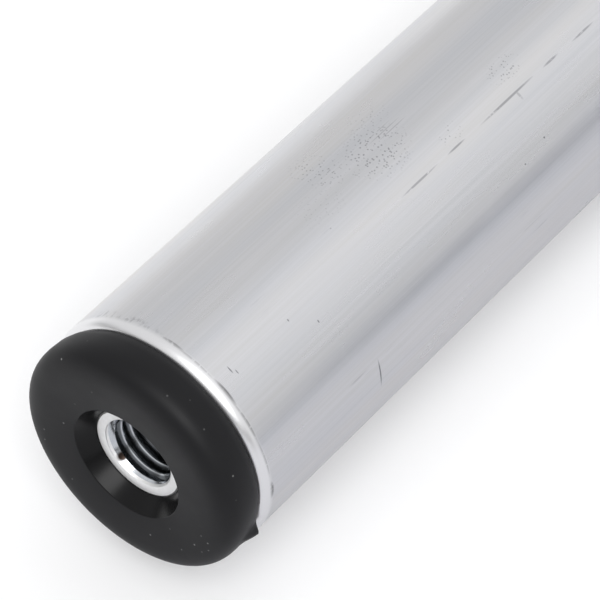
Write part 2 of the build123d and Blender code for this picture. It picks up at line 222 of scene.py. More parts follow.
def swept(stations, segments, layer_name=None, outline=None):
    """Carries a ring through stations of (matrix, radius, distance along)."""
    bm = bmesh.new()
    layer = bm.verts.layers.float_vector.new(layer_name) if layer_name else None
    first = bmesh.ops.create_circle(bm, cap_ends=False, segments=segments, radius=1)["verts"]
    here, radius, along = stations[0]
    for v in first:
        if outline:
            v.co *= outline(math.atan2(v.co.y, v.co.x))
        if layer:
            v[layer] = Vector((v.co.x * radius, v.co.y * radius, along))
    here = here @ Matrix.Scale(radius, 4)
    bmesh.ops.transform(bm, matrix=here, verts=first)
    ring = bm.edges[:]
    for matrix, radius, along in stations[1:]:
        made = bmesh.ops.extrude_edge_only(bm, edges=ring)["geom"]
        verts = {g for g in made if isinstance(g, bmesh.types.BMVert)}
        ring = [g for g in made if isinstance(g, bmesh.types.BMEdge) and verts.issuperset(g.verts)]
        there = matrix @ Matrix.Scale(radius, 4)
        bmesh.ops.transform(bm, matrix=there @ here.inverted(), verts=list(verts))
        here = there
        if layer:
            for v in verts:
                v[layer].z = along
    return bm


def capped(bm):
    """Closes a swept shape's open ends."""
    bmesh.ops.holes_fill(bm, edges=[e for e in bm.edges if e.is_boundary], sides=0)
    return tidied(bm)


def block(size, place, corner, rim, steps=6):
    """Box on local XY, rising along local Z, with round corners and softly broken rims."""
    bm = bmesh.new()
    bmesh.ops.create_cube(bm, size=1)
    bmesh.ops.translate(bm, vec=(0, 0, 0.5), verts=bm.verts)
    bmesh.ops.scale(bm, vec=size, verts=bm.verts)
    upright = [e for e in bm.edges if abs(e.verts[0].co.z - e.verts[1].co.z) > size[2] / 2]
    bmesh.ops.bevel(bm, geom=upright, offset=corner, offset_type="OFFSET", segments=steps,
        profile=0.5, affect="EDGES", material=-1)
    ends = [f for f in bm.faces if abs(f.normal.z) > 0.9]
    rims = list({e for f in ends for e in f.edges})
    bmesh.ops.bevel(bm, geom=rims, offset=rim, offset_type="OFFSET", segments=3, profile=0.5,
        affect="EDGES", material=-1)
    return tidied(bm, place)


def plate(points, thickness, place, rim):
    """Flat outline of (x, y) points given a thickness about local XY, with rounded rims."""
    bm = bmesh.new()
    verts = [bm.verts.new((x, y, -thickness / 2)) for x, y in points]
    face = bm.faces.new(verts)
    made = bmesh.ops.extrude_face_region(bm, geom=[face])["geom"]
    bmesh.ops.translate(bm, vec=(0, 0, thickness),
        verts=[g for g in made if isinstance(g, bmesh.types.BMVert)])
    ends = [f for f in bm.faces if len(f.verts) == len(points)]
    rims = list({e for f in ends for e in f.edges})
    bmesh.ops.bevel(bm, geom=rims, offset=rim, offset_type="OFFSET", segments=3, profile=0.5,
        affect="EDGES", material=-1)
    return tidied(bm, place)


def together(shapes):
    """One bmesh that holds several."""
    whole = bmesh.new()
    for shape in shapes:
        mesh = bpy.data.meshes.new("shape")
        shape.to_mesh(mesh)
        shape.free()
        whole.from_mesh(mesh)
        bpy.data.meshes.remove(mesh)
    return whole


def combined(bm, *others, operation="DIFFERENCE"):
    """Cuts closed shapes out of a closed bmesh, or joins them to it."""
    made = []
    for source in (bm, together(others)):
        mesh = bpy.data.meshes.new("solid")
        source.to_mesh(mesh)
        source.free()
        made.append(placed("solid", mesh))
    modifier = made[0].modifiers.new("combine", "BOOLEAN")
    modifier.operation = operation
    modifier.solver = "EXACT"
    modifier.object = made[1]
    result = bmesh.new()
    result.from_object(made[0], bpy.context.evaluated_depsgraph_get())
    for thing in made:
        mesh = thing.data
        bpy.data.objects.remove(thing)
        bpy.data.meshes.remove(mesh)
    return tidied(result)


# A groove's half width at the crests and at the root, and its crests' rounding, by the pitch
GROOVE_CREST, GROOVE_ROOT, GROOVE_BREAK = 0.41, 1 / 12, 0.03


def thread_groove(crest_r, root_r, pitch, length, place, steps=60):
    """Closed helical strand that cuts a thread, with flat roots and softly broken crests."""
    out = 1 if crest_r > root_r else -1     # which way the strand's open side faces
    crest, root, broken = pitch * GROOVE_CREST, pitch * GROOVE_ROOT, pitch * GROOVE_BREAK
    half = [(crest_r + out * 0.3 * MM, crest + 3 * broken), (crest_r, crest + broken),
        (crest_r - out * broken, crest), (root_r, root)]
    bm = bmesh.new()
    chain(bm, half + [(r, -h) for r, h in reversed(half)], closed=True)
    turns = math.ceil(length / pitch)
    bmesh.ops.spin(bm, geom=bm.verts[:] + bm.edges[:], cent=(0, 0, 0), axis=(0, 0, 1),
        dvec=(0, 0, pitch / steps), angle=turns * FULL_TURN, steps=turns * steps)
    bmesh.ops.holes_fill(bm, edges=[e for e in bm.edges if e.is_boundary], sides=0)
    return tidied(bm, place)


# Materials


def srgb(hex_colour):
    """Linear colour from an sRGB hex value."""
    parts = [int(hex_colour[i:i + 2], 16) / 255 for i in (1, 3, 5)]
    return (*[c / 12.92 if c <= 0.04045 else ((c + 0.055) / 1.055) ** 2.4 for c in parts], 1.0)


def add_node(tree, kind, inputs=None, output=0, **settings):
    """Adds a node, sets or links its inputs, and returns one of its outputs."""
    node = tree.nodes.new("ShaderNode" + kind)
    for name, value in settings.items():
        setattr(node, name, value)
    for name, value in (inputs or {}).items():
        if isinstance(value, bpy.types.NodeSocket):
            tree.links.new(value, node.inputs[name])
        else:
            node.inputs[name].default_value = value
    return node.outputs[output]


def new_material(name, **constants):
    """A material with constants all over it, the adder of its nodes, and its shader."""
    material = bpy.data.materials.new(name)
    material.use_nodes = True
    shader = material.node_tree.nodes["Principled BSDF"]
    for socket, value in constants.items():
        shader.inputs[socket.replace("_", " ")].default_value = value
    return material, partial(add_node, material.node_tree), shader


def surfaced(shader, tone, rough, relief):
    """Links what makes up a surface to its shader."""
    for socket, made in (("Base Color", tone), ("Roughness", rough), ("Normal", relief)):
        shader.id_data.links.new(made, shader.inputs[socket])


def off_arm_axis(add, coords):
    """How far a point is from the nearer arm's outer axis."""
    across = add("VectorMath", {0: coords}, operation="ABSOLUTE")
    across = add("VectorMath", {0: across, 1: (ARM_X, 0, AXIS_Z)}, operation="SUBTRACT")
    across = add("VectorMath", {0: across, 1: (1, 0, 1)}, operation="MULTIPLY")
    return add("VectorMath", {0: across}, "Value", operation="LENGTH")


# Marks on the arm's outer leg. Each row is its distance from the rolled rim and half length in mm,
# its angle round the tube and half width in degrees, its strength, and how much of it is broken up.
PITTED_PATCHES = (
    (38.5, 3.4, 99, 13, 0.55, 0.74), (46.5, 6.0, 86, 14, 0.60, 0.72), (57, 2.4, 69, 5, 0.45, 0.75),
    (72, 3.5, 74, 6, 0.55, 0.74), (51, 4.0, 101, 8, 0.35, 0.76), (33, 5.0, 84, 9, 0.20, 0.78),
)
SCRATCHES = (
    (47.3, 4.0, 62.9, 0.55, 0.50, 0.36), (56, 2.0, 62.8, 0.50, 0.55, 0.34), (68.5, 6.3, 62.5, 0.60, 0.55, 0.38),
    (79, 1.8, 62.2, 0.60, 0.50, 0.38), (87, 2.6, 61.8, 0.55, 0.50, 0.40), (70.5, 0.25, 60.5, 2.6, 0.30, 0.36),
    (50.5, 3.6, 90.5, 0.3, 0.28, 0.40), (51.5, 3.2, 88.5, 0.3, 0.28, 0.40), (49.5, 3.0, 92.6, 0.3, 0.25, 0.42),
    (25.0, 0.15, 8, 7.5, 0.85, 0.25), (3.0, 0.11, 59.5, 1.9, 0.80, 0.25), (3.6, 0.10, 57, 1.2, 0.70, 0.25),
    (15.2, 0.12, 58, 0.7, 0.70, 0.20), (18.9, 0.12, 49, 0.8, 0.75, 0.20), (69.5, 0.18, 39, 0.5, 0.80, 0.10),
    (64, 0.15, 36, 0.45, 0.75, 0.10), (31, 0.15, 74, 0.4, 0.35, 0.10),
)
# Burrs and grime pushed up behind the rolled rim
RIM_MARKS = (
    (0.15, 0.34, 54, 7, 0.95, 0.36), (0.05, 0.26, 38, 9, 0.90, 0.38), (0.6, 0.8, 104, 13, 0.26, 0.52),
    (0.1, 0.46, 2, 5, 0.90, 0.35), (0.8, 1.1, 124, 8, 0.24, 0.52), (0.05, 0.20, 72, 11, 0.60, 0.42),
    (0.2, 0.28, 84, 6, 0.65, 0.40), (0.05, 0.20, 20, 10, 0.65, 0.40), (0.0, 0.18, 46, 10, 0.70, 0.37),
)


def mark_mask(add, unrolled, broken, rows):
    """Strongest of several oval marks on the unrolled surface, each broken up by a fine pattern."""
    mask = None
    for along, half_length, angle, half_width, strength, gap in rows:
        local = add("Mapping", {"Vector": unrolled, "Location": (math.radians(angle), along * MM, 0),
            "Scale": (math.radians(half_width), half_length * MM, 1)}, vector_type="TEXTURE")
        distance = add("VectorMath", {0: local}, "Value", operation="LENGTH")
        inside = add("MapRange", {"Value": distance, "From Min": 1.15, "From Max": 0.55})
        kept = add("MapRange", {"Value": broken, "From Min": gap - 0.04, "From Max": gap + 0.06,
            "To Max": strength})
        one = add("Math", {0: inside, 1: kept}, operation="MULTIPLY")
        mask = one if mask is None else add("Math", {0: mask, 1: one}, operation="MAXIMUM")
    return mask


def aluminium(name, along_x, marked):
    """Mill-finish drawn tube. The die leaves fine straight lines and soft grey bands along it, handling
    leaves short dull scratches, and the rolled rim is burnished bright."""
    material, add, shader = new_material(name, Metallic=1.0)
    if along_x:
        # Coordinates across and along the straight centre tube
        place = add("TexCoord", output="Object")
        centred = add("VectorMath", {0: place, 1: (0, AXIS_Y, AXIS_Z)}, operation="SUBTRACT")
        axes = add("SeparateXYZ", {0: centred}).node.outputs
        coords = add("CombineXYZ", {0: axes[1], 1: axes[2], 2: axes[0]})
    else:
        coords = add("Attribute", output="Vector", attribute_name="along_tube")
    axes = add("SeparateXYZ", {0: coords}).node.outputs
    turn = add("Math", {0: axes[1], 1: axes[0]}, operation="ARCTAN2")
    unrolled = add("CombineXYZ", {0: turn, 1: axes[2]})

    # Die lines are 0.1 to 0.3 mm apart, drawn at about 0.4 mm so that they show
    stretched = add("Mapping", {"Vector": coords, "Scale": (1, 1, 0.008)})
    die_lines = add("TexNoise", {"Vector": stretched, "Scale": 2400, "Detail": 5, "Roughness": 0.65})
    # Bands about 6 mm wide and longer than the view
    long_bands = add("Mapping", {"Vector": coords, "Scale": (1, 1, 0.06)})
    bands = add("TexNoise", {"Vector": long_bands, "Scale": 160, "Detail": 3})
    # Clouds about 10 mm across, left by handling and oxide
    clouds = add("TexNoise", {"Vector": add("Mapping", {"Vector": coords, "Scale": (1, 1, 0.35)}),
        "Scale": 110, "Detail": 5, "Roughness": 0.6})
    # Short straight scratches, about one in three centimetres
    scuffs = add("TexNoise", {"Vector": add("Mapping", {"Vector": coords, "Scale": (1, 1, 0.045)}),
        "Scale": 1500, "Detail": 2})
    scuff_zone = add("MapRange", {"Value": clouds, "From Min": 0.56, "From Max": 0.66})
    scuff_line = add("MapRange", {"Value": scuffs, "From Min": 0.66, "From Max": 0.74})
    scuff = add("Math", {0: scuff_zone, 1: scuff_line}, operation="MULTIPLY")

    band_part = add("MapRange", {"Value": bands, "From Min": 0.32, "From Max": 0.68})
    line_part = add("MapRange", {"Value": die_lines, "From Min": 0.35, "From Max": 0.75,
        "To Max": 0.6})
    tone = add("Mix", {0: band_part, 6: srgb("#ccced2"), 7: srgb("#d6d5d4")}, 2, data_type="RGBA")
    tone = add("Mix", {0: line_part, 6: tone, 7: srgb("#dfdfe3")}, 2, data_type="RGBA")
    scuff_part = add("Math", {0: scuff, 1: 0.5}, operation="MULTIPLY")
    tone = add("Mix", {0: scuff_part, 6: tone, 7: srgb("#9a9b9f")}, 2, data_type="RGBA")
    rough = add("MapRange", {"Value": clouds, "From Min": 0.3, "From Max": 0.7, "To Min": 0.25,
        "To Max": 0.35})
    if marked:
        # Ragged edges about 0.6 mm long, and pits 0.2 mm wide and about 0.5 mm apart
        ragged = add("TexNoise", {"Vector": add("Mapping", {"Vector": coords, "Scale": (1, 1, 0.4)}),
            "Scale": 1700, "Detail": 3, "Roughness": 0.6})
        pits = add("Math", {0: 1.0, 1: add("TexVoronoi", {"Vector": coords, "Scale": 2000})},
            operation="SUBTRACT")
        for pattern, rows, dark in ((pits, PITTED_PATCHES, "#7c7c80"), (ragged, SCRATCHES, "#6a6b70"),
                (ragged, RIM_MARKS, "#363638")):
            mask = mark_mask(add, unrolled, pattern, rows)
            tone = add("Mix", {0: mask, 6: tone, 7: srgb(dark)}, 2, data_type="RGBA")
        # The rim is burnished from where the rolling starts
        burnished = add("MapRange", {"Value": axes[2], "From Min": 0.5 * MM, "From Max": -0.3 * MM})
        tone = add("Mix", {0: burnished, 6: tone, 7: srgb("#ededee")}, 2, data_type="RGBA")
        rough = add("Mix", {0: burnished, 2: rough, 3: 0.3})
    relief = add("Bump", {"Height": die_lines, "Strength": 0.2, "Distance": 0.02 * MM})
    relief = add("Bump", {"Height": clouds, "Strength": 0.15, "Distance": 0.15 * MM,
        "Normal": relief})
    surfaced(shader, tone, rough, relief)
    return material


def moulded(name, dark, pale, roughness, specular, grain_mm, dusty, glossy_shaded_recess=False):
    """Moulded black polymer: near-black with a satin sheen, a fine spark-eroded grain from the mould,
    slightly uneven gloss, and specks of pale dust that cling to it. A recess comes off a polished core
    pin, so it is glossier, and its wall is painted darker as shade in the recess."""
    material, add, shader = new_material(name, Specular_IOR_Level=specular, IOR=1.5)
    coords = add("TexCoord", output="Object")
    grain = add("TexNoise", {"Vector": coords, "Scale": 1 / (grain_mm * MM), "Detail": 3,
        "Roughness": 0.6})
    clouds = add("TexNoise", {"Vector": coords, "Scale": 170, "Detail": 4})
    tone = add("Mix", {0: clouds, 6: srgb(dark), 7: srgb(pale)}, 2, data_type="RGBA")
    # Dust motes 0.1 mm wide, one to each 1.2 mm cell, most of them left out
    motes = add("TexVoronoi", {"Vector": coords, "Scale": 850})
    which = add("SeparateColor", {0: motes.node.outputs["Color"]})
    near = add("MapRange", {"Value": motes, "From Min": 0.16, "From Max": 0.07})
    chosen = add("MapRange", {"Value": which, "From Min": 0.90, "From Max": 0.97})
    mote = add("Math", {0: near, 1: chosen}, operation="MULTIPLY")
    mote = add("Math", {0: mote, 1: dusty}, operation="MULTIPLY")
    tone = add("Mix", {0: mote, 6: tone, 7: srgb("#a9a9a8")}, 2, data_type="RGBA")
    rough = add("MapRange", {"Value": clouds, "From Min": 0.3, "From Max": 0.7, "To Min": roughness,
        "To Max": roughness + 0.08})
    if glossy_shaded_recess:
        # Painted shade: the recess wall is darkened, as shade falls in it, and it is also glossier
        distance = off_arm_axis(add, coords)
        inside = add("MapRange", {"Value": distance, "From Min": RECESS_R,
            "From Max": RECESS_R - 0.1 * MM})
        tone = add("Mix", {0: inside, 6: tone, 7: srgb("#0b0b0c")}, 2, data_type="RGBA")
        rough = add("Mix", {0: inside, 2: rough, 3: 0.24})
    relief = add("Bump", {"Height": grain, "Strength": 0.25, "Distance": 0.02 * MM})
    surfaced(shader, tone, rough, relief)
    return material


def zinc(name, rusty, matte_ring_and_groove_shade):
    """Bright zinc plating on steel: bluish white and glossy, faintly mottled where the plating took
    unevenly, with a brown bloom of first rust in spots. A sawn end face is whiter and duller."""
    material, add, shader = new_material(name, Metallic=1.0)
    coords = add("TexCoord", output="Object")
    mottle = add("TexNoise", {"Vector": coords, "Scale": 1100, "Detail": 5, "Roughness": 0.65})
    tone = add("Mix", {0: mottle, 6: srgb("#b3b8bf"), 7: srgb("#e4e7ea")}, 2, data_type="RGBA")
    # Rust blooms about 1 mm across and centimetres apart
    bloom = add("TexNoise", {"Vector": coords, "Scale": 420, "Detail": 5, "Roughness": 0.7})
    rust = add("MapRange", {"Value": bloom, "From Min": 0.70, "From Max": 0.78, "To Max": rusty})
    tone = add("Mix", {0: rust, 6: tone, 7: srgb("#7d6a55")}, 2, data_type="RGBA")
    rough = add("MapRange", {"Value": mottle, "From Min": 0.3, "From Max": 0.7, "To Min": 0.14,
        "To Max": 0.26})
    if matte_ring_and_groove_shade:
        front = add("SeparateXYZ", {0: coords}).node.outputs[1]
        face = add("MapRange", {"Value": front, "From Min": TIP_Y + RING_FRONT - MATTE_DEPTH,
            "From Max": TIP_Y + RING_FRONT - MATTE_DEPTH + 0.08 * MM})
        white = add("Mix", {0: mottle, 6: srgb("#ececeb"), 7: srgb("#ffffff")}, 2, data_type="RGBA")
        tone = add("Mix", {0: face, 6: tone, 7: white}, 2, data_type="RGBA")
        rough = add("Mix", {0: face, 2: rough, 3: 0.48})
        # Painted shade: deep in the mouth the thread's grooves are darkened, as shade falls in them, while its
        # crests keep the plated tone
        distance = off_arm_axis(add, coords)
        below = add("MapRange", {"Value": distance, "From Min": INSERT_MINOR_R + 0.04 * MM,
            "From Max": INSERT_MINOR_R + 0.25 * MM, "To Max": 0.8})
        deep = add("MapRange", {"Value": front, "From Min": TIP_Y + RING_FRONT - 1.1 * MM,
            "From Max": TIP_Y + RING_FRONT - 1.6 * MM})
        painted_groove_shade = add("Math", {0: below, 1: deep}, operation="MULTIPLY")
        tone = add("Mix", {0: painted_groove_shade, 6: tone, 7: srgb("#24292d")}, 2, data_type="RGBA")
        # One brown spot where the countersink bruised the plating
        aside = add("VectorMath", {0: coords}, operation="ABSOLUTE")
        bruise = (ARM_X + 3.7 * MM, TIP_Y + RING_FRONT - 0.9 * MM, AXIS_Z - 3.9 * MM)
        away = add("VectorMath", {0: aside, 1: bruise}, "Value", operation="DISTANCE")
        spot = add("MapRange", {"Value": away, "From Min": 1.0 * MM, "From Max": 0.5 * MM})
        tone = add("Mix", {0: spot, 6: tone, 7: srgb("#2e2622")}, 2, data_type="RGBA")
    relief = add("Bump", {"Height": mottle, "Strength": 0.12, "Distance": 0.03 * MM})
    surfaced(shader, tone, rough, relief)
    return material


def machined_aluminium():
    """Turned aluminium boss and the bead that welds it on: pale grey, fine turning lines round its
    axis, and soot left beside the weld."""
    material, add, shader = new_material("turned_and_welded_aluminium", Metallic=1.0)
    coords = add("TexCoord", output="Object")
    # Turning lines 0.25 mm apart, stacked up the boss
    lines = add("TexNoise", {"Vector": add("Mapping", {"Vector": coords, "Scale": (0.01, 0.01, 1)}),
        "Scale": 4000, "Detail": 2})
    heat = add("TexNoise", {"Vector": coords, "Scale": 260, "Detail": 5, "Roughness": 0.65})
    height = add("SeparateXYZ", {0: coords}).node.outputs[2]
    low = add("MapRange", {"Value": height, "From Min": AXIS_Z + CENTRE_R + 3 * MM,
        "From Max": AXIS_Z + CENTRE_R - 4 * MM})
    soot = add("MapRange", {"Value": heat, "From Min": 0.40, "From Max": 0.62})
    soot = add("Math", {0: soot, 1: low}, operation="MULTIPLY")
    tone = add("Mix", {0: lines, 6: srgb("#c6c7ca"), 7: srgb("#dcdcde")}, 2, data_type="RGBA")
    tone = add("Mix", {0: soot, 6: tone, 7: srgb("#8d8c8b")}, 2, data_type="RGBA")
    rough = add("MapRange", {"Value": heat, "From Min": 0.3, "From Max": 0.7, "To Min": 0.28,
        "To Max": 0.46})
    relief = add("Bump", {"Height": lines, "Strength": 0.3, "Distance": 0.03 * MM})
    surfaced(shader, tone, rough, relief)
    return material


ALUMINIUM = aluminium("mill_finish_drawn_aluminium", True, False)
ARM_ALUMINIUM = aluminium("mill_finish_drawn_aluminium_handled", False, True)
NYLON = moulded("moulded_black_nylon", "#151517", "#1a1a1c", 0.42, 0.22, 0.22, 0.5)
PLUG_NYLON = moulded("moulded_black_nylon_plug", "#111113", "#161618", 0.44, 0.20, 0.22, 0.5, True)
KNOB_NYLON = moulded("glossy_black_nylon", "#17171a", "#1d1d20", 0.30, 0.45, 0.30, 0.4)
RUBBER = moulded("moulded_black_rubber", "#1d1c1c", "#282727", 0.68, 0.25, 0.40, 1.0)
VINYL = moulded("dipped_black_vinyl", "#141416", "#1a1a1d", 0.24, 0.5, 0.9, 0.5)
ZINC = zinc("bright_zinc_plated_steel", 0.7, False)
INSERT_ZINC = zinc("bright_zinc_plated_insert", 0.8, True)
MACHINED = machined_aluminium()

# Arms

ARM_SEGMENTS = 160
BEND_STEPS = 40
LEG_STEPS = 24
ROLL_STEPS = 8


def arm_stations(side, radius):
    """Stations of a ring carried along an arm, from its inner end to the start of its rolled rim."""
    start = Vector((side * ARM_START, AXIS_Y, AXIS_Z))
    bend_start = Vector((side * (ARM_X - BEND_R), AXIS_Y, AXIS_Z))
    centre = bend_start + Vector((0, BEND_R, 0))
    inner_length = (bend_start - start).length
    bend_length = BEND_R * math.pi / 2
    outer_length = TIP_Y - ROLL_LENGTH - centre.y
    whole = inner_length + bend_length + outer_length
    stations = []
    for i in range(LEG_STEPS):
        s = inner_length * i / LEG_STEPS
        stations.append((facing(start + Vector((side * s, 0, 0)), (side, 0, 0)), radius, whole - s))
    for i in range(BEND_STEPS):
        a = math.pi / 2 * i / BEND_STEPS
        point = centre + BEND_R * Vector((side * math.sin(a), -math.cos(a), 0))
        stations.append((facing(point, (side * math.cos(a), math.sin(a), 0)), radius,
            whole - inner_length - BEND_R * a))
    for i in range(LEG_STEPS + 1):
        s = outer_length * i / LEG_STEPS
        point = Vector((side * ARM_X, centre.y + s, AXIS_Z))
        stations.append((facing(point, (0, 1, 0)), radius, outer_length - s))
    return stations


def arm_tube(side):
    """Bent tube, its outer end rolled in over the plug."""
    outside = arm_stations(side, ARM_R)
    roll_r = (ROLL_DEPTH**2 + ROLL_LENGTH**2) / (2 * ROLL_DEPTH)
    roll_angle = math.asin(ROLL_LENGTH / roll_r)
    rim = []
    for i in range(1, ROLL_STEPS + 1):
        a = roll_angle * i / ROLL_STEPS
        y = TIP_Y - ROLL_LENGTH + roll_r * math.sin(a)
        rim.append((to_wall(side * ARM_X, y),
            ARM_R - roll_r * (1 - math.cos(a)), -roll_r * math.sin(a)))
    rim.append((tip_place(side), ARM_BORE_R, -ROLL_LENGTH))
    inside = [(place, ARM_BORE_R, s) for place, _, s in reversed(outside)]
    return tidied(swept(outside + rim + inside + outside[:1], ARM_SEGMENTS, "along_tube"))


NECK_R = ARM_R - ROLL_DEPTH     # plug's neck, inside the rolled rim
SKIRT_R = ARM_BORE_R - SEAT
SHOULDER_X, SHOULDER_Z = 4.4 * MM, 3.8 * MM     # how far the domed shoulder reaches in and down
SHOULDER_POWER = 2.6            # 2 would be a quarter ellipse
SHOULDER_STEPS = 14
FACE_DISH = 0.45 * MM           # how far the face sinks from its shoulder to the recess
FLASH_ANGLE = -20               # degrees round the head, where a sliver of plastic stands out
FLASH_HEIGHT = 2.2 * MM
FLASH_REACH = 2.2 * MM          # how far round it the plastic is drawn out
FLASH_UP = 0.9 * MM             # above the rolled rim


def end_plug(side):
    """Plug head with its domed shoulder and countersunk recess, and the sleeve inside the tube."""
    rim = PLUG_HEAD - FACE_DISH
    profile = [(INSERT_R, PLUG_BACK), (INSERT_R, RING_FRONT - RING_DEPTH),
        (RING_R, RING_FRONT - RING_DEPTH), (RING_R, RING_FRONT), (RING_R + 0.12 * MM, RING_FRONT)]
    profile += [(RECESS_R - 0.12 * MM, rim - 0.15 * MM), (RECESS_R - 0.03 * MM, rim - 0.04 * MM),
        (RECESS_R + 0.1 * MM, rim)]
    for i in range(SHOULDER_STEPS + 1):
        a = math.pi / 2 * (1 - i / SHOULDER_STEPS)
        profile.append((PLUG_R - SHOULDER_X * (1 - math.cos(a)**(2 / SHOULDER_POWER)),
            PLUG_HEAD - SHOULDER_Z * (1 - math.sin(a)**(2 / SHOULDER_POWER))))
    profile += [(PLUG_R - 0.12 * MM, 1.8 * MM), (PLUG_R - 0.45 * MM, 0.7 * MM), (NECK_R, 0),
        (NECK_R, -0.05 * MM)]
    profile += [(SKIRT_R, -0.05 * MM), (SKIRT_R, PLUG_BACK)]
    bm = turned(profile, Matrix.Identity(4), 192)
    a = math.radians(FLASH_ANGLE)
    spot = Vector((math.cos(a), math.sin(a), 0)) * PLUG_R
    spot.z = FLASH_UP
    for v in bm.verts:
        near = (v.co - spot).length / FLASH_REACH
        if near < 1 and v.co.z > 0:
            v.co += spot.normalized() * FLASH_HEIGHT * (1 - near)**2
    bmesh.ops.transform(bm, matrix=tip_place(side), verts=bm.verts)
    return bm


def thread_insert(side):
    """Insert with a flat ring for a mouth, countersunk to a real cut thread, and grooved outside."""
    groove = (INSERT_FRONT + INSERT_BACK) / 2
    profile = [(INSERT_MINOR_R, INSERT_BACK), (INSERT_R, INSERT_BACK), (INSERT_R, groove - 1.5 * MM),
        (INSERT_R - 0.8 * MM, groove - 1.5 * MM), (INSERT_R - 0.8 * MM, groove + 1.5 * MM),
        (INSERT_R, groove + 1.5 * MM), (INSERT_R, RING_FRONT - RING_DEPTH),
        (RING_R, RING_FRONT - RING_DEPTH), (RING_R, RING_FRONT - 0.22 * MM),
        (RING_R - 0.25 * MM, RING_FRONT), (INSERT_MOUTH_R + 0.2 * MM, RING_FRONT),
        (INSERT_MOUTH_R - 0.1 * MM, RING_FRONT - 0.12 * MM),
        (INSERT_MOUTH_R - 0.4 * MM, RING_FRONT - MATTE_DEPTH),
        (INSERT_MINOR_R, RING_FRONT - 1.3 * MM)]
    place = tip_place(side)
    start = place @ Matrix.Translation((0, 0, INSERT_BACK - INSERT_PITCH))
    return combined(turned(profile, place, 128), thread_groove(INSERT_MINOR_R, INSERT_MAJOR_R,
        INSERT_PITCH, INSERT_FRONT - INSERT_BACK + 2 * INSERT_PITCH, start))


GLIDE_WALL = 2.6 * MM


def guide_plug(side):
    """Glide on the arm's inner end: a grooved head that rides in the centre tube, and a spigot."""
    head = glide_low.x - ARM_START          # negative, behind the tube's inner end
    spigot = glide_high.x - ARM_START
    bore = SKIRT_R - GLIDE_WALL
    profile = [(bore, head), (GLIDE_R - 0.8 * MM, head), (GLIDE_R, head + 0.8 * MM)]
    for i in range(2):
        z = head * (0.68 - 0.34 * i)
        profile += [(GLIDE_R, z - 0.5 * MM), (GLIDE_R - 0.7 * MM, z - 0.3 * MM),
            (GLIDE_R - 0.7 * MM, z + 0.3 * MM), (GLIDE_R, z + 0.5 * MM)]
    profile += [(GLIDE_R, -0.9 * MM), (GLIDE_R - 0.8 * MM, -SEAT), (SKIRT_R, -SEAT),
        (SKIRT_R, spigot - 1.5 * MM), (SKIRT_R - 0.8 * MM, spigot), (bore, spigot)]
    return turned(profile, along_tube(side * ARM_START, side))


# Centre tube and its mouths


def centre_tube():
    """Straight tube with deburred ends, cross-drilled for the U-bolts and the lock screws."""
    burr = 0.4 * MM
    profile = [(CENTRE_BORE_R, burr), (CENTRE_BORE_R + burr, 0), (CENTRE_R - burr, 0),
        (CENTRE_R, burr)]
    stretch = [(0.02 * i * CENTRE_HALF * 2) for i in range(1, 50)]
    profile += [(CENTRE_R, z) for z in stretch]
    profile += [(r, 2 * CENTRE_HALF - h) for r, h in reversed(profile[:4])]
    profile += [(CENTRE_BORE_R, z) for z in reversed(stretch)]
    bm = turned(profile, along_tube(-CENTRE_HALF), 128)
    drills = []
    for side in (-1, 1):
        for x in LEG_XS:
            drills.append(rod(LEG_HOLE_R, 3 * CENTRE_R, to_wall(side * x, AXIS_Y - 1.5 * CENTRE_R),
                48))
        drills.append(rod(SCREW_R + SEAT, 2 * CENTRE_R, lock_place(side, AXIS_Z), 48))
    return combined(bm, *drills)


def guide_bush(side):
    """Bush in the tube's mouth: a rounded collar with two grip grooves and a flared way in."""
    back, front = bush_low.x - CENTRE_HALF, bush_high.x - CENTRE_HALF
    slide = ARM_R + SLIDE_FIT
    sleeve = CENTRE_BORE_R - SEAT
    profile = [(slide, back + 1 * MM), (slide + 0.8 * MM, back), (sleeve - 0.6 * MM, back),
        (sleeve, back + 1 * MM), (sleeve, SEAT), (COLLAR_R - 0.8 * MM, SEAT)]
    profile += arc((COLLAR_R - 0.8 * MM, 0.85 * MM), 0.8 * MM, -90, 0, 5)
    for z in (2.5 * MM, 4.3 * MM):
        profile += arc((COLLAR_R + 0.15 * MM, z), 0.5 * MM, -107, -253, 6)
    profile += arc((COLLAR_R - 1.4 * MM, front - 1.4 * MM), 1.4 * MM, 0, 90, 7)
    profile += [(slide + 0.7 * MM, front), (slide + 0.2 * MM, front - 0.3 * MM),
        (slide, front - 0.9 * MM)]
    bm = turned(profile, along_tube(side * CENTRE_HALF, side), 128)
    return combined(bm, rod(SCREW_R + SEAT, 2 * CENTRE_R, lock_place(side, AXIS_Z), 48))


BEAD_R = 1.7 * MM
BEAD_STEPS = 180
BEAD_RIPPLES = 34


def lock_boss(side):
    """Turned boss saddled on the tube's crown."""
    seat = AXIS_Z + CENTRE_R / 2
    top = BOSS_TOP - seat
    profile = [(SCREW_R + SEAT, 0), (BOSS_R, 0), (BOSS_R, top - 4.2 * MM)]
    profile += [(BOSS_R - 0.35 * MM, top - 3.9 * MM), (BOSS_R - 0.35 * MM, top - 3.3 * MM),
        (BOSS_R, top - 3 * MM)]
    profile += arc((BOSS_R - 1.2 * MM, top - 1.2 * MM), 1.2 * MM, 0, 90, 6)
    profile += [(SCREW_R + 0.9 * MM, top), (SCREW_R + SEAT, top - 0.8 * MM)]
    tube = rod(CENTRE_R + SEAT, 4 * BOSS_R, along_tube(side * LOCK_X - 2 * BOSS_R), 128)
    return combined(turned(profile, lock_place(side, seat)), tube)


